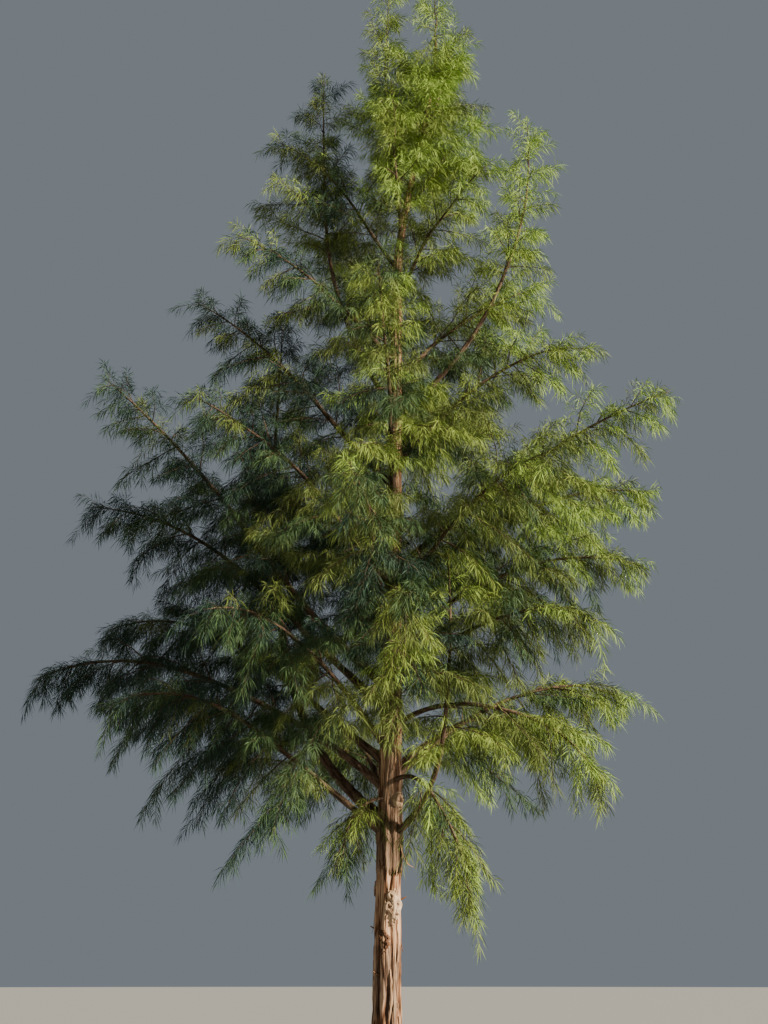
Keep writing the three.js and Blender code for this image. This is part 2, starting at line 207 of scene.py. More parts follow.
def strips(turn, z, seed):
    """How high the bark stands at a place round and up a stem, 0 in a crack and 1 on a plate."""
    wander = 0.5 * noise.noise(Vector((seed, z * 1.3, math.sin(turn) + seed)))
    across = math.cos(turn + wander) * STRIPS_ROUND
    depth = math.sin(turn + wander) * STRIPS_ROUND
    place = Vector((across, depth, z * STRIPS_UP + seed))
    nearest, second = noise.voronoi(place)[0][:2]
    plate = min(1.0, (second - nearest) / CRACK_WIDTH)
    fine = min(1.0, abs(noise.noise(place * 2.3)) / 0.2)
    return plate * (0.68 + 0.32 * fine)


def layers(turn, z, seed):
    """Whether the old outer layer of bark is still on, 1, or has peeled and left the inner one, 0."""
    place = Vector((math.cos(turn) * 1.5 + seed, math.sin(turn) * 1.5, z * 1.5))
    ragged = 0.14 * noise.noise(Vector((turn * 9, z * 4, seed)))
    return 0.5 + 0.5 * math.tanh((noise.noise(place) + ragged - 0.02) * 22)


def mesh_object(name, points, faces, material, is_smooth):
    """A mesh from an array of points and a list of arrays of faces, each array with its own corners."""
    made = bpy.data.meshes.new(name)
    corners = np.concatenate([group.ravel() for group in faces])
    sizes = np.concatenate([np.full(len(group), group.shape[1]) for group in faces])
    starts = np.concatenate([[0], np.cumsum(sizes)[:-1]])
    made.vertices.add(len(points))
    made.vertices.foreach_set("co", np.ascontiguousarray(points, np.float32).ravel())
    made.loops.add(len(corners))
    made.loops.foreach_set("vertex_index", corners.astype(np.int32))
    made.polygons.add(len(sizes))
    made.polygons.foreach_set("loop_start", starts.astype(np.int32))
    made.polygons.foreach_set("use_smooth", np.full(len(sizes), is_smooth))
    made.update(calc_edges=True)
    made.materials.append(material)
    piece = bpy.data.objects.new(name, made)
    bpy.context.scene.collection.objects.link(piece)
    return piece


def grid_faces(rings, sides, first=0):
    """The four-cornered faces of a tube whose points go round each ring in turn."""
    ring, side = np.meshgrid(np.arange(rings - 1), np.arange(sides), indexing="ij")
    a = ring * sides + side
    b = ring * sides + (side + 1) % sides
    return first + np.stack([a, b, b + sides, a + sides], axis=-1).reshape(-1, 4)


def paint(piece, name, values):
    layer = piece.data.attributes.new(name, "FLOAT", "POINT")
    layer.data.foreach_set("value", np.ascontiguousarray(values, np.float32))


class Link:
    """An output of a node. Sums and products of such values add their own Math nodes."""

    def __init__(self, tree, socket):
        self.tree = tree
        self.socket = socket

    def maths(self, operation, *values):
        node = self.tree.nodes.new("ShaderNodeMath")
        node.operation = operation
        for slot, value in zip(node.inputs, values):
            if isinstance(value, Link):
                self.tree.links.new(value.socket, slot)
            else:
                slot.default_value = value
        return Link(self.tree, node.outputs[0])

    def __add__(self, other):
        return self.maths("ADD", self, other)

    __radd__ = __add__

    def __mul__(self, other):
        return self.maths("MULTIPLY", self, other)

    __rmul__ = __mul__

    def __sub__(self, other):
        return self.maths("SUBTRACT", self, other)

    def __rsub__(self, other):
        return self.maths("SUBTRACT", other, self)


class Finish:
    """A material: constants go on the shader's own sockets, and nodes feed the rest."""

    def __init__(self, name, **constants):
        self.material = bpy.data.materials.new(name)
        self.material.use_nodes = True
        self.tree = self.material.node_tree
        self.shader = self.tree.nodes["Principled BSDF"]
        for socket, value in constants.items():
            self.shader.inputs[socket.replace("_", " ")].default_value = value

    def node(self, kind, settings=None, output=0, **values):
        """Adds a node: its settings first, a ramp's stops among them, then its sockets' values or links."""
        made = self.tree.nodes.new("ShaderNode" + kind)
        for name, value in (settings or {}).items():
            if name == "stops":
                elements = made.color_ramp.elements
                while len(elements) < len(value):
                    elements.new(0.5)
                for element, (place, colour) in zip(elements, value):
                    element.position = place
                    element.color = (*colour, 1)
            else:
                setattr(made, name, value)
        for name, value in values.items():
            slot = made.inputs[name.replace("_", " ")]
            if isinstance(value, Link):
                self.tree.links.new(value.socket, slot)
            else:
                slot.default_value = value
        return Link(self.tree, made.outputs[output])

    def ramp(self, value, *stops):
        """A colour ramp, whose stops are places and colours."""
        return self.node("ValToRGB", {"stops": stops}, Fac=value)

    def mix(self, share, one, other):
        """One colour turned into another by a share. A colour is a link or three numbers."""
        made = self.node("Mix", {"data_type": "RGBA"}, output=2, Factor=share)
        for slot, colour in zip(made.socket.node.inputs[6:8], (one, other)):
            if isinstance(colour, Link):
                self.tree.links.new(colour.socket, slot)
            else:
                slot.default_value = (*colour, 1)
        return made

    def feed(self, socket, link):
        self.tree.links.new(link.socket, self.shader.inputs[socket])


FIBRE_STRETCH = 0.055
CRACK_DRIFT = 0.03


def bark_finish(name, painted_furrow_shade, strip, worn, old, pale, fibre_scale, depth):
    """Fibrous bark: painted shade in its furrows, red-brown where it has peeled, and weathered on its old
    layer.
    """
    finish = Finish(name, Specular_IOR_Level=0.22)
    place = finish.node("TexCoord", output="Object")
    upright = finish.node("Mapping", Vector=place, Scale=(1, 1, FIBRE_STRETCH))
    relief = finish.node("Attribute", {"attribute_name": "relief"}, output="Fac")
    layer = finish.node("Attribute", {"attribute_name": "layer"}, output="Fac")
    burl = finish.node("Attribute", {"attribute_name": "pale"}, output="Fac")
    fibre = finish.node("TexNoise", Vector=upright, Scale=fibre_scale, Detail=6.0, Roughness=0.68)
    patch = finish.node("TexNoise", Vector=upright, Scale=fibre_scale / 10, Detail=3.0)
    drift = finish.node("TexNoise", output="Color", Vector=upright, Scale=fibre_scale / 12, Detail=2.0)
    shift = finish.node("Mapping", Vector=drift, Scale=(CRACK_DRIFT, CRACK_DRIFT, 0))
    bent = finish.node("Mapping", Vector=upright, Location=shift)
    edges = {"feature": "DISTANCE_TO_EDGE"}
    crack = finish.node("TexVoronoi", edges, output="Distance", Vector=bent, Scale=fibre_scale / 3)
    plate = finish.node("MapRange", {"interpolation_type": "SMOOTHSTEP"}, Value=crack, From_Max=0.16)
    height = relief * 0.40 + fibre * 0.62 + plate * 0.16 - 0.16
    # The lowest bark, in furrows and cracks, takes the darkest colour as painted shade.
    peeled = finish.ramp(height, (0.16, painted_furrow_shade), (0.42, strip), (0.74, worn))
    unpeeled = finish.ramp(height, (0.2, painted_furrow_shade), (0.72, old))
    weathered = finish.mix(layer * (0.25 + patch), peeled, unpeeled)
    finish.feed("Base Color", finish.mix(burl * (0.35 + patch), weathered, pale))
    finish.feed("Roughness", 0.97 - relief * 0.17)
    ridges = fibre * 0.8 + plate * 0.4 + relief * 0.4
    finish.feed("Normal", finish.node("Bump", Strength=0.8, Distance=depth, Height=ridges))
    return finish.material


trunk_bark = bark_finish(
    "trunk_bark",
    painted_furrow_shade=(0.020, 0.010, 0.007),
    strip=(0.200, 0.090, 0.044),
    worn=(0.640, 0.420, 0.262),
    old=(0.250, 0.165, 0.110),
    pale=(0.680, 0.520, 0.350),
    fibre_scale=150.0,
    depth=0.006,
)


def bulge(turn, z, at_turn, at_z, wide, tall):
    """How much of a knot's height stands at a place on the trunk, 1 at its middle."""
    across = (turn - at_turn + math.pi) % (2 * math.pi) - math.pi
    return np.exp(-(across / wide) ** 2 - ((z - at_z) / tall) ** 2)


def closed_tube(rings, foot, tip):
    """Points and faces of a tube from rings of points, closed at either end round a middle point."""
    count, sides = rings.shape[:2]
    points = np.concatenate([rings.reshape(-1, 3), [foot, tip]])
    side = np.arange(sides)
    following = (side + 1) % sides
    last = (count - 1) * sides
    foot_faces = np.stack([np.full_like(side, len(points) - 2), following, side], axis=-1)
    tip_faces = np.stack([np.full_like(side, len(points) - 1), last + side, last + following], axis=-1)
    return points, [grid_faces(count, sides), np.concatenate([foot_faces, tip_faces])]


def trunk_mesh():
    z = np.concatenate([
        np.linspace(0, BARE_TRUNK, BARE_RINGS, endpoint=False),
        np.linspace(BARE_TRUNK, TRUNK_TOP, LEAFY_RINGS),
    ])
    turn = np.arange(TRUNK_SIDES) / TRUNK_SIDES * 2 * math.pi
    height, around = np.meshgrid(z, turn, indexing="ij")
    plain = trunk_radius(height)
    ribs = RIB_DEPTH * (RIB_TOP_SHARE + RIB_FOOT_SHARE * np.exp(-height / FLARE_HEIGHT))
    radius = plain * (1 + ribs * np.cos(RIBS * around + height / RIB_TWIST_HEIGHT))
    relief = np.array([[strips(a, h, 3.0) for a in turn] for h in z])
    layer = np.array([[layers(a, h, 5.0) for a in turn] for h in z])
    slim = np.clip(plain / FULL_RELIEF_RADIUS, 0.1, 1.1)
    wander = 0.9 * np.sin(height * 1.1) + 0.5 * np.sin(height * 2.9 + 1)
    fold = np.cos(FOLDS * around + wander) + 0.6 * np.cos(FINE_FOLDS * around - 1.4 * wander + 2)
    radius += FOLD_DEPTH * fold * slim
    in_front = smooth((np.cos(around - math.radians(BREAK_TURN)) + 0.25) * 1.6)
    ragged_edge = BREAK_HEIGHT + 0.016 * np.sin(around * 23) + 0.01 * np.sin(around * 51)
    faded = smooth((height - BREAK_TOP) / BREAK_FADE)
    broken = smooth((height - ragged_edge) / BREAK_EDGE) * (1 - faded) * in_front
    bared = (height < BREAK_TOP) * (height > BREAK_HEIGHT - PEELED_BELOW)
    layer = np.maximum(layer * (1 - in_front * bared), broken)
    radius += slim * (FURROW_DEPTH * (relief - 0.75) + LAYER_DEPTH * (layer - 0.5) + BREAK_DEPTH * broken)
    pale = np.zeros_like(radius)
    for at_z, at_turn, out, wide, tall, paleness in KNOTS:
        lump = bulge(around, height, math.radians(at_turn), at_z, wide / float(trunk_radius(at_z)), tall)
        radius += out * lump * (0.75 + 0.5 * relief)
        pale = np.maximum(pale, paleness * smooth(lump * 2.2))
    for at_turn, top, deep, wide in CREASES:
        middle = math.radians(at_turn) + 0.07 * np.sin(height * 2.6 + at_turn) + 0.03 * np.sin(height * 9)
        dent = bulge(around, 0 * height, middle, 0, wide / plain, 1) * smooth((top - height) / CREASE_FADE)
        radius -= deep * dent
        # Each crease is also painted darker along its length, as painted shade.
        relief *= 1 - 0.85 * smooth(dent * 1.4)
    for _, at, towards, *_rest in LIMBS:
        at_z = at * MM + COLLAR_RISE
        root = float(trunk_radius(at_z))
        collar = bulge(around, height, math.radians(towards), at_z, COLLAR_WIDTH, 0.055 + 0.4 * root)
        radius += COLLAR_SWELL * root * collar
    outward = np.stack([np.cos(around), np.sin(around), np.zeros_like(radius)], axis=-1)
    rings = trunk_middle(height) + radius[..., None] * outward
    points, faces = closed_tube(rings, trunk_middle(0.0), trunk_middle(TRUNK_TOP + 0.004))
    piece = mesh_object("trunk_bark", points, faces, trunk_bark, True)
    for kind, values in (("relief", relief), ("layer", layer), ("pale", pale)):
        paint(piece, kind, np.concatenate([values.ravel(), [0.0, 0.0]]))
    return piece


trunk = trunk_mesh()
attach(trunk, "root")
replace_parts(trunk, "trunk")

# LOOSE BARK, BURLS AND STUBS
# Strips of the old bark have come away at one end and hang down the trunk, and the largest one curls out
# to the right near the step. Knobbly burls, pale or dark, stand where buds and twigs were, and short
# stubs where twigs have broken off. All of them are bark or wood and sunk into the trunk.
STRIP_KNOTS = 15
STRIP_THICKNESS = 0.0016
STRIP_SUNK = 0.004
STUB_KNOTS = 5
STUB_SIDES = 6
STUB_SUNK = 0.02
STUB_LIFT = 0.2

# Height of the upper end, turn in degrees, length, width, and how far the lower end curls out.
LOOSE_STRIPS = [
    (2.70, -26, 0.38, 0.034, 0.155),
    (2.52, -52, 0.20, 0.016, 0.010),
    (2.90, -64, 0.24, 0.020, 0.016),
    (2.30, -96, 0.34, 0.018, 0.008),
    (1.96, -42, 0.30, 0.015, 0.014),
    (1.62, -78, 0.42, 0.020, 0.007),
    (1.28, -24, 0.36, 0.017, 0.012),
    (1.05, -112, 0.40, 0.020, 0.010),
    (0.82, -56, 0.34, 0.018, 0.012),
    (2.10, 24, 0.36, 0.018, 0.020),
    (1.44, 62, 0.44, 0.020, 0.012),
    (2.44, 98, 0.30, 0.016, 0.026),
    (1.72, 132, 0.40, 0.020, 0.010),
    (2.22, 176, 0.34, 0.017, 0.018),
    (1.18, 168, 0.38, 0.019, 0.010),
    (1.50, -150, 0.40, 0.018, 0.012),
    (3.40, -70, 0.26, 0.015, 0.014),
    (3.75, -20, 0.30, 0.014, 0.022),
    (3.62, 140, 0.28, 0.014, 0.018),
]

# Height, turn in degrees, length, radius and rise of each stub.
STUBS = [
    (2.14, -12, 0.050, 0.0085, 0.3),
    (2.94, -48, 0.060, 0.0120, 0.2),
    (3.90, -30, 0.110, 0.0060, 0.5),
    (4.12, -44, 0.150, 0.0045, -0.2),
    (3.52, 20, 0.070, 0.0070, 0.4),
    (1.58, -140, 0.045, 0.0075, 0.3),
    (2.52, 70, 0.080, 0.0070, 0.4),
    (1.92, 150, 0.060, 0.0080, 0.2),
    (3.28, -160, 0.090, 0.0060, 0.5),
    (3.15, 110, 0.060, 0.0075, 0.3),
]

# Height, turn in degrees, radius, how far it stands out, and how pale it is.
BURLS = [
    (2.110, -50, 0.052, 0.034, 1.0),
    (2.168, -76, 0.036, 0.030, 0.8),
    (2.090, -88, 0.036, 0.026, 0.6),
    (2.036, -60, 0.038, 0.030, 0.8),
    (2.130, -64, 0.026, 0.030, 0.9),
    (2.060, -76, 0.026, 0.030, 0.5),
    (1.975, -66, 0.024, 0.016, 0.5),
    (2.205, -60, 0.022, 0.014, 0.7),
    (1.872, -112, 0.040, 0.024, 0.0),
    (1.812, -100, 0.034, 0.022, 0.0),
    (1.850, -92, 0.026, 0.016, 0.1),
    (1.755, -108, 0.024, 0.012, 0.0),
    (2.925, -50, 0.052, 0.050, 0.8),
    (2.880, -38, 0.034, 0.036, 0.6),
    (1.350, -50, 0.030, 0.012, 0.2),
    (2.420, -122, 0.038, 0.022, 0.1),
    (1.640, 118, 0.040, 0.022, 0.3),
    (1.600, 104, 0.028, 0.016, 0.1),
    (2.240, 160, 0.042, 0.026, 0.4),
    (2.200, 176, 0.030, 0.018, 0.2),
    (1.120, 34, 0.034, 0.018, 0.2),
    (0.760, -136, 0.038, 0.018, 0.1),
]
BURL_RINGS = 12
BURL_SIDES = 22
BURL_SUNK = 0.006
BURL_FOOT = 0.2
BURL_TALLNESS = 1.2
BURL_SLANT = 0.35


def outwards(turn):
    return np.array([math.cos(math.radians(turn)), math.sin(math.radians(turn)), 0.0])


def surface_points(z, turn, out):
    """Points that stand off the trunk's plain surface by a distance."""
    reach = trunk_radius(z) + out
    return trunk_middle(z) + np.stack([reach * np.cos(turn), reach * np.sin(turn), 0 * z], axis=-1)


def loose_strip(top, at_turn, length, width, curl):
    """Rings of four points down one strip, which leaves the trunk more and more and then curls up."""
    share = np.linspace(0, 1, STRIP_KNOTS)
    lift = 0.010 * smooth(share * 2) + curl * share ** 3.2 - STRIP_SUNK
    drop = share - 0.18 * np.minimum(1, curl / 0.1) * share ** 6
    z = top - length * drop
    turn = math.radians(at_turn) + 0.10 * np.sin(share * 4)
    body = np.sin(math.pi * np.clip(share * 0.84 + 0.12, 0, 1)) ** 0.8
    corners = []
    for side, over in ((-1, 0), (1, 0), (1, 1), (-1, 1)):
        edge = [noise.noise(Vector((side * 3 + top * 9, s * 5, at_turn))) for s in share]
        ragged = 1 + 0.7 * np.array(edge)
        spread = 0.5 * width * (0.08 + 0.92 * body) * ragged / trunk_radius(z)
        corners.append(surface_points(z, turn + side * spread, lift + over * STRIP_THICKNESS))
    return np.stack(corners, axis=1)


def stub(at_z, at_turn, length, thick, rise):
    """Rings of points along one stub, from inside the trunk to its broken end."""
    share = np.linspace(0, 1, STUB_KNOTS)[:, None]
    out = outwards(at_turn)
    heading = unit(out + UP * rise)
    root = trunk_middle(at_z) + out * (float(trunk_radius(at_z)) - STUB_SUNK)
    middle = root + heading * (length + STUB_SUNK) * share + UP * STUB_LIFT * length * share ** 2
    level = unit(np.cross(heading, UP))
    over = np.cross(heading, level)
    turn = np.arange(STUB_SIDES) / STUB_SIDES * 2 * math.pi
    radius = thick * (1.25 - 0.7 * share)
    ring = level * np.cos(turn)[:, None] + over * np.sin(turn)[:, None]
    return middle[:, None] + ring[None] * radius[..., None]


def burl(at_z, at_turn, size, out):
    """Rings of points over one burl, from inside the trunk over its lumpy dome and into its dimple."""
    facing = outwards(at_turn)
    sideways = np.cross(UP, facing)
    root = trunk_middle(at_z) + facing * (float(trunk_radius(at_z)) - BURL_SUNK)
    seed = Vector((at_z * 31, at_turn * 0.7, size * 90))
    slant = BURL_SLANT * np.array([noise.noise(seed), noise.noise(seed * 1.7)])
    around = np.arange(BURL_SIDES) / BURL_SIDES * 2 * math.pi
    rings = []
    for share in np.linspace(-BURL_FOOT, 1, BURL_RINGS):
        spread = 1 - 0.9 * max(0.0, share) ** 2.2
        ring = []
        for angle in around:
            place = Vector((math.cos(angle) * spread, math.sin(angle) * spread, share * 0.5))
            edge = 1 + 0.40 * noise.noise(place * 1.4 + seed)
            knob = 1 + 0.70 * noise.noise(place * 2.1 + seed) + 0.22 * noise.noise(place * 5.0 + seed)
            stand = out * (math.sin(share * 1.9) * knob if share > 0 else share)
            across = math.cos(angle) + slant[0] * share
            upright = BURL_TALLNESS * (math.sin(angle) + slant[1] * share)
            ring.append(root + facing * stand + size * spread * edge * (sideways * across + UP * upright))
        rings.append(ring)
    return np.array(rings)


def joined(tubes):
    """Points and faces of many closed tubes together."""
    points, quads, triangles, first = [], [], [], 0
    for tube_points, (tube_quads, tube_triangles) in tubes:
        points.append(tube_points)
        quads.append(tube_quads + first)
        triangles.append(tube_triangles + first)
        first += len(tube_points)
    return np.concatenate(points), [np.concatenate(quads), np.concatenate(triangles)]


def on_bark(name, pieces):
    """One piece from many small ones, each given as its rings of points."""
    tubes = [closed_tube(rings, rings[0].mean(axis=0), rings[-1].mean(axis=0)) for rings in pieces]
    return mesh_object(name, *joined(tubes), trunk_bark, True)


burls = on_bark("burls", [burl(*row[:4]) for row in BURLS])
loose_bark = on_bark("loose_bark", [loose_strip(*row) for row in LOOSE_STRIPS])
stubs = on_bark("twig_stubs", [stub(*row) for row in STUBS])
burl_points = BURL_RINGS * BURL_SIDES + 2
# A burl's relief falls to nothing in its dimple, which paints the dimple dark as painted shade; the less
# pale burls have lower relief all over and are darker.
dimple = np.concatenate([np.repeat(np.linspace(1, 0, BURL_RINGS) ** 0.4, BURL_SIDES), [1.0, 0.0]])
burl_pale = np.repeat([row[-1] for row in BURLS], burl_points)
burl_relief = np.tile(dimple, len(BURLS)) * (0.3 + 0.7 * smooth(burl_pale * 2))
burl_pale = burl_pale * burl_relief
for piece, relief, pale in ((burls, burl_relief, burl_pale), (loose_bark, 0.75, 0.0), (stubs, 0.35, 0.0)):
    for kind, values in (("relief", relief), ("layer", 0.3), ("pale", pale)):
        paint(piece, kind, np.broadcast_to(values, len(piece.data.vertices)))
    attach(piece, "root")

# THE LIMBS
# Limbs sweep up and out of the trunk and arch over at their ends. Each is bare, bark-covered wood up to
# its plume and runs on through it as the stem that bears the twigs. They are tubes of thin furrowed
# bark that leave the trunk from inside it, with a collar at the root.
LIMB_GIRTH = 0.0072
LIMB_LEAST_RADIUS = 0.008
LIMB_ROOT_SHARE = 0.46
LEADER_ROOT_SHARE = 0.66
STEM_TIP_RADIUS = 0.0028
LIMB_TAPER = 0.8
HANDLE = 0.36
COLLAR = 0.5
COLLAR_SHARE = 0.05
LEADER_SPREAD = 0.26
BOUGH_SIDES = 14
BOUGH_STEP = 0.022
STEM_SIDES = 7
STEM_STEP = 0.05
CROOK = 0.012


class Limb:
    """One limb: its line from the trunk's middle to its tip, and its girth along that line."""

    def __init__(self, name, height, bare, spread, root_share, corners, number):
        self.name = name
        self.height = height
        self.bare = bare
        self.spread = spread
        self.root_share = root_share
        self.corners = corners
        self.number = number
        whole = self.at(np.linspace(0, 1, 81))
        self.length = float(np.linalg.norm(np.diff(whole, axis=0), axis=1).sum())
        chord = corners[3] - corners[0]
        across = np.cross(chord, UP)
        self.level = unit(across) if np.linalg.norm(across) > 1e-3 else np.array([1.0, 0.0, 0.0])

    def at(self, t):
        """Points on the line, with the slight crook that every limb has."""
        t = np.asarray(t, float)[:, None]
        a, b, c, d = self.corners
        line = a * (1 - t) ** 3 + 3 * b * t * (1 - t) ** 2 + 3 * c * t * t * (1 - t) + d * t ** 3
        turns = t * 9 + self.number
        crook = np.stack([np.sin(turns), np.cos(turns * 1.3), np.sin(turns * 0.7 + 1)], axis=-1)[:, 0]
        return line + CROOK * crook * np.sin(math.pi * t)

    def along(self, t):
        step = 1e-3
        return unit(self.at(np.minimum(t + step, 1)) - self.at(np.maximum(t - step, 0)))

    def radius(self, t):
        root = float(trunk_radius(self.height))
        thickest = min(LIMB_GIRTH * self.length + LIMB_LEAST_RADIUS, self.root_share * root)
        collar = 1 + COLLAR * np.exp(-t / COLLAR_SHARE)
        return (STEM_TIP_RADIUS + (thickest - STEM_TIP_RADIUS) * (1 - t) ** LIMB_TAPER) * collar


def limb_corners(height, turn, reach, tip, *slopes):
    """The four corners of a limb's line, which leaves the trunk and arrives at its tip at two slopes."""
    start = trunk_middle(height)
    out = outwards(turn)
    end = start + out * reach
    end[2] = tip
    handle = np.linalg.norm(end - start) * HANDLE
    first, last = [out * math.cos(slope) + UP * math.sin(slope) for slope in map(math.radians, slopes)]
    return [start, start + first * handle, end - last * handle, end]


limbs = []
for number, (name, height, turn, reach, tip, leave, arrive, bare, spread) in enumerate(LIMBS):
    corners = limb_corners(height * MM, turn, reach * MM, tip * MM, leave, arrive)
    limbs.append(Limb(name, height * MM, bare, spread * MM, LIMB_ROOT_SHARE, corners, number + 1))
tip_start = trunk_middle(TRUNK_TOP)
tip_end = tip_start + UP * (TREE_TOP - TRUNK_TOP)
tip_corners = [tip_start + (tip_end - tip_start) * k / 3 for k in range(4)]
limbs.append(Limb("crown_tip", TRUNK_TOP, 0, LEADER_SPREAD, LEADER_ROOT_SHARE, tip_corners, len(LIMBS) + 1))

# The boughs' bark is painted darker than the trunk's, as painted shade of the crown round them, and less
# orange.
bough_bark = bark_finish(
    "bough_bark",
    painted_furrow_shade=(0.018, 0.011, 0.008),
    strip=(0.075, 0.042, 0.026),
    worn=(0.21, 0.135, 0.085),
    old=(0.130, 0.095, 0.070),
    pale=(0.50, 0.38, 0.26),
    fibre_scale=260.0,
    depth=0.003,
)


def bark_tube(limb, start, end, sides, step, seed):
    """Points, faces and relief of a stretch of a limb, as a tube of furrowed bark with closed ends."""
    rings = max(3, round(limb.length * (end - start) / step)) + 1
    t = np.linspace(start, end, rings)
    middle = limb.at(t)
    along = limb.along(t)
    level = np.broadcast_to(limb.level, along.shape)
    over = unit(np.cross(along, level))
    level = unit(np.cross(over, along))
    turn = np.arange(sides) / sides * 2 * math.pi
    reach = t * limb.length
    relief = np.array([[strips(a, r * 2.2, seed) for a in turn] for r in reach])
    radius = limb.radius(t)[:, None] * (0.90 + 0.20 * relief)
    rings = (
        middle[:, None]
        + level[:, None] * (np.cos(turn) * radius)[..., None]
        + over[:, None] * (np.sin(turn) * radius)[..., None]
    )
    points, faces = closed_tube(rings, middle[0], middle[-1])
    return points, faces, relief


def bark_piece(name, tubes):
    """One piece from several tubes of bark."""
    piece = mesh_object(name, *joined([tube[:2] for tube in tubes]), bough_bark, True)
    relief = np.concatenate([np.concatenate([tube[2].ravel(), [0.5, 0.5]]) for tube in tubes])
    for kind, values in (("relief", relief), ("layer", 0.4), ("pale", 0.0)):
        paint(piece, kind, np.broadcast_to(values, len(relief)))
    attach(piece, "root")
    return piece


for limb in limbs:
    if limb.bare > 0:
        tube = bark_tube(limb, 0, limb.bare, BOUGH_SIDES, BOUGH_STEP, limb.number)
        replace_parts(bark_piece("bark_of_" + limb.name, [tube]), "bough_" + limb.name)

masses = ["mass_" + limb.name for limb in limbs]
stems = bark_piece(
    "plume_stems", [bark_tube(limb, limb.bare, 1, STEM_SIDES, STEM_STEP, limb.number) for limb in limbs]
)
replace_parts(stems, *masses)

# THE TWIGS
# Side shoots stand all round every plume's stem and finer shoots on those, mostly to their two sides, with
# short leafy spurs on the stems and the trunk. Low in the crown they hang, and near the top they stand
# out. They are slim three-sided rods of brown wood, joined into two pieces.
GOLDEN_TURN = 2.39996
TWIG_SEED = 41
TWIG_SIDES = 3
TWIG_TAPER = 0.8
HANG_MOST = 0.75
TRUNK_GAP = 0.02
OWN_SPACE = 0.8
ROOM = np.array([0.080, 0.064, 0.16])

FIRST_TWIG = 0.13
SHOOT_STEP = 0.078
SHOOT_KNOTS = 6
SHOOT_RADIUS = 0.0075
SHOOT_ANGLES = (38, 62)
SPRAY_SHARE = 1.85
SPRAY_TAPER = 0.66
SPRAY_DROOP = 0.14
TIP_SHOOT = 0.14
TIP_SLOPE = 0.46
CROWDED_SHARE = 0.62
CUT_BACK = 0.8

SIDE_SHOOT_STEP = 0.072
SIDE_SHOOT_KNOTS = 3
SIDE_SHOOT_RADIUS = 0.0022
SIDE_SHOOT_ANGLES = (34, 56)
SIDE_SHOOT_SHARE = 0.40

SPUR_STEP = 0.050
SPUR_RADIUS = 0.002
SPUR_ANGLES = (48, 82)
SPUR_LENGTHS = (0.14, 0.34)
SPURS_A_SPRAY = 8
TRUNK_SPUR_RADIUS = 0.004
TRUNK_SPURS_A_SPRAY = 3
BARE_TIP = 0.3
TOP_SPURS_FROM = 8.7
TOP_SPUR_RISE = 26

# The leafy shoots on the trunk itself: the lowest, the step between them, the longest, the first spray.
TRUNK_SPURS = [
    (4.6, 0.045, 0.74, 45),
    (TOP_SPURS_FROM, 0.024, 1.30, 24),
]

# A plume has a thousand numbers for its sprays: its shoots' from 0, its spurs' from 500, its stem's 900.
PLUME_SPRAYS = 1000
SPUR_SPRAYS = 500
STEM_SPRAY = 900

generator = np.random.default_rng(TWIG_SEED)


def between(low, high, count):
    return generator.uniform(low, high, count)


def lean(direction, towards, angle):
    angle = np.asarray(angle)[..., None]
    return unit(direction * np.cos(angle) + towards * np.sin(angle))


def side_of(along):
    """The level direction square to each line. A line that stands straight up takes +X."""
    side = np.cross(along, UP)
    upright = np.linalg.norm(side, axis=-1, keepdims=True) < 1e-3
    return unit(np.where(upright, np.array([1.0, 0.0, 0.0]), side))


def off_stem(limb, t, roll):
    """The stem's direction at each share of it, and the way off it at a roll about it."""
    along = limb.along(t)
    side = side_of(along)
    return along, lean(side, np.cross(side, along), roll)


def hang_at(z):
    return HANG_MOST * np.maximum(0, 1 - z / TREE_TOP)


class Shoots:
    """Many like shoots in arrays: their roots, headings, lengths, how far they droop, and their spray."""

    def __init__(self, root, heading, length, droop, thick, spray):
        self.root = root
        self.heading = heading
        self.length = length
        self.droop = droop
        self.thick = thick
        self.spray = spray
        self.level = side_of(heading)
        self.wave = between(-0.05, 0.05, len(length))

    def at(self, share):
        """Points at shares of each shoot, one row of shares for each shoot."""
        s = share[..., None]
        length = self.length[:, None, None]
        bend = self.droop[:, None, None] * length * s * s
        sway = self.wave[:, None, None] * length * np.sin(s * 5.0) * np.minimum(1, 3 * s)
        return (
            self.root[:, None]
            + self.heading[:, None] * length * s
            + DOWN * bend
            + self.level[:, None] * sway
        )

    def along(self, share):
        return unit(self.at(share + 0.01) - self.at(share - 0.01))

    def points(self, share):
        """One point on each shoot, at the same share of all."""
        return self.at(np.full((len(self.length), 1), share))[:, 0]

    def seat(self, share):
        """One point on each shoot, its direction there, and the way square to that and to its level."""
        along = self.along(share[:, None])[:, 0]
        return self.at(share[:, None])[:, 0], along, unit(np.cross(along, self.level))

    def keep(self, wanted):
        kept = Shoots.__new__(Shoots)
        for name, values in vars(self).items():
            setattr(kept, name, values[wanted])
        return kept


def together(groups):
    every = Shoots.__new__(Shoots)
    for name in vars(groups[0]):
        setattr(every, name, np.concatenate([getattr(group, name) for group in groups]))
    return every


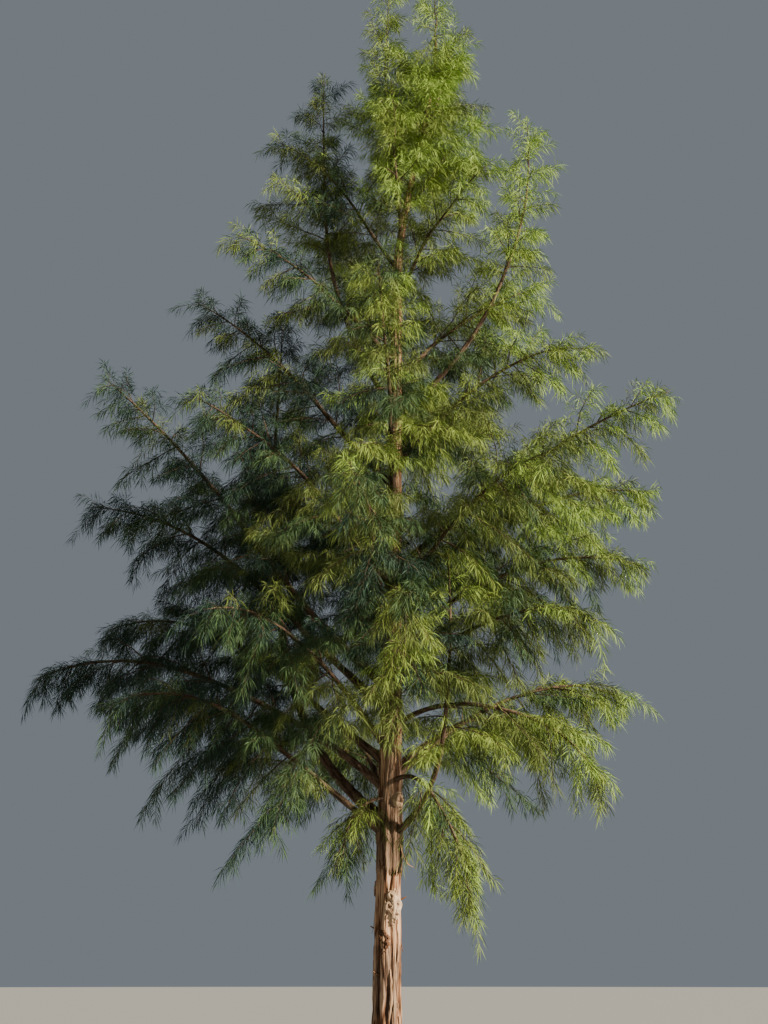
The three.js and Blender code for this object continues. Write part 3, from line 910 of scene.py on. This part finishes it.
def rods(shoots, knots):
    """Points and faces of the shoots' wood: slim rods that taper to their tips."""
    count = len(shoots.length)
    share = np.broadcast_to(np.linspace(0, 1, knots), (count, knots))
    middle = shoots.at(share)
    along = shoots.along(share)
    level = np.broadcast_to(shoots.level[:, None], along.shape)
    over = unit(np.cross(along, level))
    radius = shoots.thick[:, None] * (1 - TWIG_TAPER * share)
    turn = np.arange(TWIG_SIDES) / TWIG_SIDES * 2 * math.pi
    ring = (
        middle[:, :, None]
        + level[:, :, None] * (radius[..., None] * np.cos(turn))[..., None]
        + over[:, :, None] * (radius[..., None] * np.sin(turn))[..., None]
    )
    first = np.arange(count)[:, None, None] * knots * TWIG_SIDES
    return ring.reshape(-1, 3), (grid_faces(knots, TWIG_SIDES) + first).reshape(-1, 4)


lines = [limb.at(limb.bare + (1 - limb.bare) * np.linspace(0, 1, 11)) for limb in limbs]


def in_own_space(points, own):
    """Whether each point is nearer its own plume's line than the others', by a share."""
    distances = [np.linalg.norm(points[:, None] - line, axis=-1).min(axis=1) for line in lines]
    mine = distances.pop(own)
    return np.min(distances, axis=0) > mine * OWN_SPACE


def off_trunk(points):
    middle = trunk_middle(points[:, 2])
    gap = np.linalg.norm((points - middle)[:, :2], axis=1) - trunk_radius(points[:, 2])
    return (gap > TRUNK_GAP) | (points[:, 2] > TRUNK_TOP)


low = np.array(cad_low) - ROOM
high = np.array(cad_high) + ROOM


def in_box(points):
    return np.all((points > low) & (points < high), axis=-1)


def shoots_on(limb, own):
    """The side shoots of one plume's stem, by the rule that the solid masses follow, set closer."""
    count = max(8, round(limb.length * (1 - limb.bare) / SHOOT_STEP))
    share = (np.arange(count) + 0.3) / count
    first = limb.bare if limb.bare > 0 else FIRST_TWIG
    t = first + (0.985 - first) * share
    along, away = off_stem(limb, t, np.arange(count) * GOLDEN_TURN + between(-0.35, 0.35, count))
    heading = lean(along, away, np.radians(between(*SHOOT_ANGLES, count)))
    root = limb.at(t)
    hanging = lean(heading, DOWN, hang_at(root[:, 2]) * between(0.6, 1.15, count))
    size = limb.spread * (1 - SPRAY_TAPER * share) * between(0.36, 1.22, count)
    length = np.minimum(size * SPRAY_SHARE, TIP_SHOOT + TIP_SLOPE * limb.length * (1 - t))
    droop = SPRAY_DROOP * between(0.4, 1.6, count) + 0.36 * hang_at(root[:, 2])
    thick = np.minimum(SHOOT_RADIUS, 0.62 * limb.radius(t))
    shoots = Shoots(root, hanging, length, droop, thick, np.arange(count))
    crowded = ~in_own_space(shoots.points(0.55), own)
    shoots.length = np.where(crowded, CROWDED_SHARE * shoots.length, shoots.length)
    for _ in range(3):
        shoots.length = np.where(in_box(shoots.points(1.0)), shoots.length, CUT_BACK * shoots.length)
    clear = off_trunk(shoots.points(0.35)) & off_trunk(shoots.points(0.8))
    return shoots.keep(clear & in_box(shoots.points(1.0)))


def dealt_along(shoots, step, least):
    """Finer parts at steps along shoots: which shoot bears each, its number there, and how many it has."""
    counts = np.maximum(least, np.round(shoots.length / step)).astype(int)
    which = np.repeat(np.arange(len(counts)), counts)
    order = np.arange(len(which)) - np.repeat(np.cumsum(counts) - counts, counts)
    return which, order, counts[which]


def side_shoots_on(parents):
    """Finer shoots on each shoot, mostly to its two sides, shorter towards its tip."""
    which, order, counts = dealt_along(parents, SIDE_SHOOT_STEP, 2)
    count = len(which)
    share = 0.1 + 0.86 * (order + between(0.2, 0.8, count)) / counts
    mother = parents.keep(which)
    root, along, over = mother.seat(share)
    hand = np.where(order % 2 == 0, 1.0, -1.0)[:, None]
    away = unit(mother.level * hand + over * between(-0.9, 0.9, count)[:, None])
    heading = lean(along, away, np.radians(between(*SIDE_SHOOT_ANGLES, count)))
    length = mother.length * SIDE_SHOOT_SHARE * (1 - 0.62 * share) * between(0.7, 1.2, count)
    droop = between(0.08, 0.3, count) + 0.3 * hang_at(root[:, 2])
    shoots = Shoots(root, heading, length, droop, np.full(count, SIDE_SHOOT_RADIUS), mother.spray)
    return shoots.keep(in_box(shoots.points(1.0)) & off_trunk(shoots.points(1.0)))


def spurs_on(limb):
    """Short leafy spurs close along a plume's stem and the end of its bough, which half hide the wood."""
    first = 0.85 * limb.bare if limb.bare > 0 else FIRST_TWIG
    count = max(8, round(limb.length * (1 - first) / SPUR_STEP))
    share = (np.arange(count) + 0.5) / count
    t = first + (0.99 - first) * share
    along, away = off_stem(limb, t, np.arange(count) * GOLDEN_TURN + 1.2)
    heading = lean(along, away, np.radians(between(*SPUR_ANGLES, count) * (1 - 0.35 * share)))
    root = limb.at(t)
    heading = lean(heading, DOWN, 0.6 * hang_at(root[:, 2]))
    length = between(*SPUR_LENGTHS, count)
    droop = between(0.1, 0.5, count)
    spray = SPUR_SPRAYS + np.arange(count) // SPURS_A_SPRAY
    spurs = Shoots(root, heading, length, droop, np.full(count, SPUR_RADIUS), spray)
    return spurs.keep(in_box(spurs.points(1.0)) & off_trunk(spurs.points(1.0)))


def trunk_spurs(lowest, step, longest, first_spray):
    """Leafy shoots that stand straight on the trunk, all up the crown and shorter towards its tip."""
    count = round((TRUNK_TOP - BARE_TIP - lowest) / step)
    z = lowest + (np.arange(count) + between(0, 0.8, count)) * step
    turn = np.arange(count) * GOLDEN_TURN
    out = np.stack([np.cos(turn), np.sin(turn), np.zeros(count)], axis=-1)
    root = trunk_middle(z) + out * (trunk_radius(z)[:, None] - 0.005)
    rise = between(0, 45, count) + TOP_SPUR_RISE * smooth(z - TOP_SPURS_FROM)
    heading = lean(out, UP, np.radians(rise))
    length = between(0.38, 1, count) * longest * (1.1 - 0.6 * z / TREE_TOP)
    droop = between(0.1, 0.5, count)
    spray = first_spray + np.arange(count) // TRUNK_SPURS_A_SPRAY
    return Shoots(root, heading, length, droop, np.full(count, TRUNK_SPUR_RADIUS), spray)


shoots, side_shoots = [], []
for own, limb in enumerate(limbs):
    grown = shoots_on(limb, own)
    spurs = spurs_on(limb)
    for group in (grown, spurs):
        group.spray = group.spray + PLUME_SPRAYS * own
    shoots.append(grown)
    side_shoots += [side_shoots_on(grown), spurs]
on_trunk = together([trunk_spurs(*row) for row in TRUNK_SPURS])
on_trunk.spray = on_trunk.spray + PLUME_SPRAYS * len(limbs)
shoots = together([*shoots, on_trunk])
side_shoots = together([*side_shoots, side_shoots_on(on_trunk)])

twig_wood = Finish("twig_wood", Specular_IOR_Level=0.3, Roughness=0.75)
twig_place = twig_wood.node("TexCoord", output="Object")
twig_fleck = twig_wood.node("TexNoise", Vector=twig_place, Scale=14.0, Detail=2.0)
twig_browns = (0.3, (0.040, 0.024, 0.015)), (0.55, (0.090, 0.052, 0.030)), (0.8, (0.15, 0.10, 0.05))
twig_wood.feed("Base Color", twig_wood.ramp(twig_fleck, *twig_browns))

for name, grown, knots in (
    ("side_shoots", shoots, SHOOT_KNOTS),
    ("fine_shoots", side_shoots, SIDE_SHOOT_KNOTS),
):
    points, faces = rods(grown, knots)
    piece = mesh_object(name, points, [faces], twig_wood.material, True)
    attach(piece, "root")
    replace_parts(piece, *masses)

# THE NEEDLES
# The leafy branchlets are soft green threads, set with needles pressed to them, that stand forward round
# every shoot and arch over under their own weight. Each is a slim pointed blade of two faces, bent where
# it is widest. A whole spray takes one of five greens, yellower further out and higher, partly as younger
# growth and partly as painted sunlight, yellower on the right as painted sunlight and darker on the left
# as painted shade.
BRANCHLET_STEP = 0.0054
STEM_BRANCHLET_STEP = 0.008
BRANCHLET_LENGTHS = (0.080, 0.150)
BRANCHLET_ANGLES = (44, 72)
BRANCHLET_WIDTH = 0.0054
BRANCHLET_HANG = 0.42
UPRIGHT_DROOP = 0.08
LEVEL_DROOP = 0.46
BARE_SHOOT = 0.30
BARE_SIDE_SHOOT = 0.16
BARE_STEM = 0.04
BLADE_SHARES = np.array([0.0, 0.42, 1.0])
BLADE_FACES = np.array([[0, 1, 2], [2, 1, 3]])
MOST_BLADES = 95000

GREENS = {
    "needles_dusky": (0.022, 0.048, 0.029),
    "needles_deep": (0.048, 0.088, 0.032),
    "needles_green": (0.110, 0.146, 0.034),
    "needles_fresh": (0.174, 0.238, 0.043),
    "needles_bright": (0.248, 0.366, 0.070),
}
GREEN_SEED = 7
GREEN_STEPS = np.array([0.19, 0.42, 0.66, 0.86])


def branchlets_on(shoots, first):
    """Roots, headings, lengths and sprays of the threads all round every shoot, from a share of it on."""
    which, order, counts = dealt_along(shoots, BRANCHLET_STEP, 3)
    count = len(which)
    share = first + (0.995 - first) * (order + between(0, 1, count)) / counts
    mother = shoots.keep(which)
    root, along, over = mother.seat(share)
    roll = order * GOLDEN_TURN + between(-0.5, 0.5, count) + mother.wave * 60
    away = lean(mother.level, over, roll)
    angle = np.radians(between(*BRANCHLET_ANGLES, count)) * (1 - 0.55 * share ** 4)
    heading = lean(lean(along, away, angle), DOWN, BRANCHLET_HANG * hang_at(root[:, 2]))
    length = between(*BRANCHLET_LENGTHS, count) * (1 - 0.28 * share ** 2)
    return root, heading, length, mother.spray


def branchlets_on_stem(limb, own):
    """The same of the threads that stand on a plume's own stem."""
    start = limb.bare + BARE_STEM
    count = round(limb.length * (1 - start) / STEM_BRANCHLET_STEP)
    share = (np.arange(count) + between(0, 1, count)) / count
    t = start + (0.998 - start) * share
    along, away = off_stem(limb, t, np.arange(count) * GOLDEN_TURN)
    heading = lean(along, away, np.radians(between(*BRANCHLET_ANGLES, count)) * (1 - 0.55 * share ** 4))
    length = between(*BRANCHLET_LENGTHS, count) * 1.1
    return limb.at(t), heading, length, np.full(count, PLUME_SPRAYS * own + STEM_SPRAY)


def blades(root, heading, length):
    """Points of every branchlet's blade: its root, its two sides where it is widest, and its tip."""
    count = len(length)
    s = BLADE_SHARES[None, :, None]
    length = length[:, None, None]
    level_share = np.linalg.norm(heading[:, :2], axis=1)
    droop = (UPRIGHT_DROOP + LEVEL_DROOP * level_share) * between(0.5, 1.35, count)
    middle = root[:, None] + heading[:, None] * length * s + DOWN * droop[:, None, None] * length * s * s
    across = unit(np.cross(heading, generator.normal(size=(count, 3))))
    half = 0.5 * BRANCHLET_WIDTH * between(0.75, 1.25, count)[:, None] * across
    return np.stack([middle[:, 0], middle[:, 1] - half, middle[:, 1] + half, middle[:, 2]], axis=1)


grown = [
    branchlets_on(shoots, BARE_SHOOT),
    branchlets_on(side_shoots, BARE_SIDE_SHOOT),
    *[branchlets_on_stem(limb, own) for own, limb in enumerate(limbs)],
]
root, heading, length, spray = [np.concatenate(parts) for parts in zip(*grown)]
points = blades(root, heading, length)
inside = np.all(in_box(points), axis=1)
inside &= off_trunk(points[:, 3]) & off_trunk(points[:, 2])
points = points[inside]
sprays, members = np.unique(spray[inside], return_inverse=True)


def spray_mean(values):
    return np.bincount(members, values) / np.bincount(members)


# A spray's green is drawn, and is yellower the further out, the higher and the further right it is: further
# out and higher partly as younger growth and partly as painted sunlight, with painted shade on the inner
# sprays, and further right as painted sunlight, with painted shade on the left. Painted low sun yellows the
# lowest sprays, all but those on the left, and painted high sun the highest.
CROWN_REACH = 3.1
OUT_AGE_AND_SHADE = 0.36
UP_AGE_AND_SUN = 0.45
RIGHT_PAINTED_SUN = 0.36
DRAWN_AGE = 0.50
HIGH_PAINTED_SUN = 1.7
LOW_SUN_TOP = 4.4
SHADED_SIDE = -0.7

root = points[:, 0]
out = np.linalg.norm((root - trunk_middle(root[:, 2]))[:, :2], axis=1)
reach = CROWN_REACH * np.maximum(0.12, 1 - root[:, 2] / TREE_TOP) ** 0.75
outness = spray_mean(np.clip(out / reach, 0, 1.2))
side_light = spray_mean(root[:, 0])
upness = spray_mean(root[:, 2]) / TREE_TOP
draws = np.random.default_rng(GREEN_SEED).normal(size=sprays[-1] + 1)
low_sun = np.clip((LOW_SUN_TOP - upness * TREE_TOP) / 2, 0, 1) * (side_light > SHADED_SIDE)
high_sun = HIGH_PAINTED_SUN * upness ** 3 * smooth((side_light - SHADED_SIDE) / 0.9)
# Painted sunlight and shade go into each spray's green here, along with its age.
placed_age_and_light = OUT_AGE_AND_SHADE * outness + UP_AGE_AND_SUN * upness + high_sun + RIGHT_PAINTED_SUN * side_light + low_sun
age_and_painted_light = placed_age_and_light + DRAWN_AGE * draws[sprays]
ranks = np.argsort(np.argsort(age_and_painted_light[members], kind="stable"), kind="stable") / len(members)
tone = np.searchsorted(GREEN_STEPS, spray_mean(ranks))[members]

for number, (name, colour) in enumerate(GREENS.items()):
    finish = Finish(name, Base_Color=(*colour, 1), Roughness=0.6, Specular_IOR_Level=0.16)
    mine = points[tone == number]
    parts = max(1, math.ceil(len(mine) / MOST_BLADES))
    for part, some in enumerate(np.array_split(mine, parts)):
        faces = (BLADE_FACES[None] + 4 * np.arange(len(some))[:, None, None]).reshape(-1, 3)
        piece = mesh_object(f"{name}_{part + 1}", some.reshape(-1, 3), [faces], finish.material, False)
        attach(piece, "root")
        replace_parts(piece, *masses)

# THE FLOOR
# A plain matt grey sheet that the tree stands on. It is no part of the tree, and it reaches the far edge
# of every view.
FLOOR_RADIUS = 160.0
FLOOR_SIDES = 96

turn = np.arange(FLOOR_SIDES) / FLOOR_SIDES * 2 * math.pi
floor_points = FLOOR_RADIUS * np.stack([np.cos(turn), np.sin(turn), np.zeros(FLOOR_SIDES)], axis=-1)
floor_finish = Finish("floor_finish", Base_Color=(0.31, 0.31, 0.30, 1), Roughness=0.9)
floor = mesh_object("floor", floor_points, [np.arange(FLOOR_SIDES)[None]], floor_finish.material, False)

# THE LIGHT
# A warm, soft-edged light from the right and in front, on the same side as the low sun in the photograph,
# and a pale even light from all round.
KEY_STRENGTH = 13.5
KEY_COLOUR = (1.0, 0.90, 0.72)
KEY_SPREAD = 5.0
KEY_TURN = -20.0
KEY_HEIGHT = 20.0
SKY_STRENGTH = 0.22
SKY_COLOUR = (0.78, 0.89, 1.0)

key_data = bpy.data.lights.new("key", "SUN")
key_data.energy = KEY_STRENGTH
key_data.color = KEY_COLOUR
key_data.angle = math.radians(KEY_SPREAD)
key = bpy.data.objects.new("key", key_data)
bpy.context.scene.collection.objects.link(key)
key_slope = math.radians(KEY_HEIGHT)
towards_key = Vector(outwards(KEY_TURN) * math.cos(key_slope) + UP * math.sin(key_slope))
key.rotation_mode = "QUATERNION"
key.rotation_quaternion = towards_key.to_track_quat("Z", "Y")

world = bpy.data.worlds.new("studio")
world.use_nodes = True
sky = world.node_tree.nodes["Background"].inputs
sky["Color"].default_value = (*SKY_COLOUR, 1)
sky["Strength"].default_value = SKY_STRENGTH
bpy.context.scene.world = world

# THE CAMERA
# At eye height in front of the tree and tilted up, so that the horizon lies near the picture's foot and
# the tree stands in the picture as it does in the photograph.
EYE_HEIGHT = 1.6
DISTANCE = 11.5
TILT = 18.2
FOCAL_PIXELS = 1400
LONG_SIDE_PIXELS = 1024
SENSOR = 36.0

camera_data = bpy.data.cameras.new("camera")
camera_data.sensor_width = SENSOR
camera_data.lens = SENSOR * FOCAL_PIXELS / LONG_SIDE_PIXELS
camera = bpy.data.objects.new("camera", camera_data)
camera.location = (0, -DISTANCE, EYE_HEIGHT)
camera.rotation_euler = (math.radians(90 + TILT), 0, 0)
bpy.context.scene.collection.objects.link(camera)
bpy.context.scene.camera = camera
